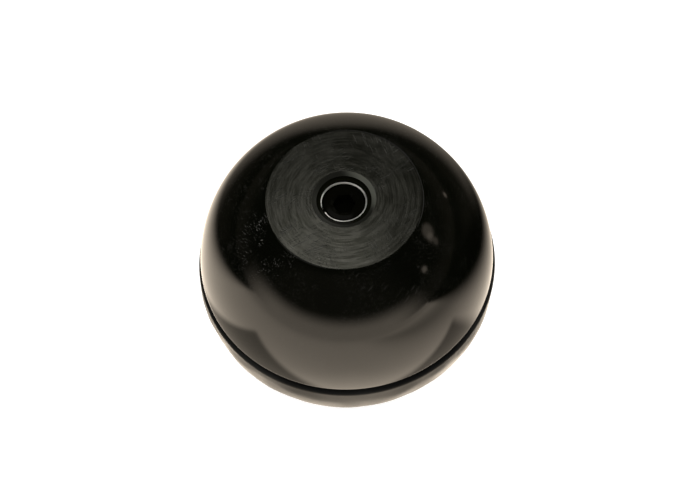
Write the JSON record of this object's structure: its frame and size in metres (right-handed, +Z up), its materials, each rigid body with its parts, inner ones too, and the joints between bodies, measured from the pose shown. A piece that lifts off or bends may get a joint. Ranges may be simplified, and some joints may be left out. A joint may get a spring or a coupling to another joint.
{
  "type": "case opening friction ball",
  "caption": "Hand-sized ball for turning screw-on watch case backs: polished hard grip half with a flat and a recessed clamp screw, over a rubber friction half.",
  "frame": {"origin": "centre of the foot flat under the rubber half", "axes": "+Z up along the ball's axis, from the rubber half to the flat on the grip half; the gap of the snap ring is near -X"},
  "size_m": [0.0608, 0.0608, 0.0508],
  "materials": {
    "polished_black_plastic": "polished, with a satin turned flat",
    "friction_rubber": "smooth moulded, semi-gloss",
    "bright_wire": "drawn bright wire",
    "black_oxide_steel": "black oxide, oiled",
    "spring_steel": "phosphated",
    "zinc_plated_steel": "turned and zinc plated",
    "ground_steel": "ground",
    "turned_brass": "turned"
  },
  "bodies": {
    "friction_body": {"friction_half": "friction_rubber", "backing_plate": "zinc_plated_steel", "threaded_boss": "turned_brass", "drive_pin_1": "ground_steel", "drive_pin_2": "ground_steel", "drive_pin_3": "ground_steel"},
    "grip_body": {"grip_dome": "polished_black_plastic", "screw_sleeve": "turned_brass", "lock_washer": "spring_steel", "retaining_ring": "bright_wire", "pin_bush_1": "turned_brass", "pin_bush_2": "turned_brass", "pin_bush_3": "turned_brass"},
    "screw_body": {"clamp_screw": "black_oxide_steel"}
  },
  "joints": [
    {"name": "grip_lift", "type": "slide", "parent": "friction_body", "child": "grip_body", "axis": [0, 0, 1], "range_m": [0, 0.012]},
    {"name": "screw_turn", "type": "hinge", "parent": "grip_body", "child": "screw_body", "pos_m": [0, 0, 0.045], "axis": [0, 0, 1], "range_deg": [0, 5400]}
  ],
  "couplings": [
    {"joint": "screw_turn", "follows": "grip_lift", "rad_per_m": 7854}
  ]
}
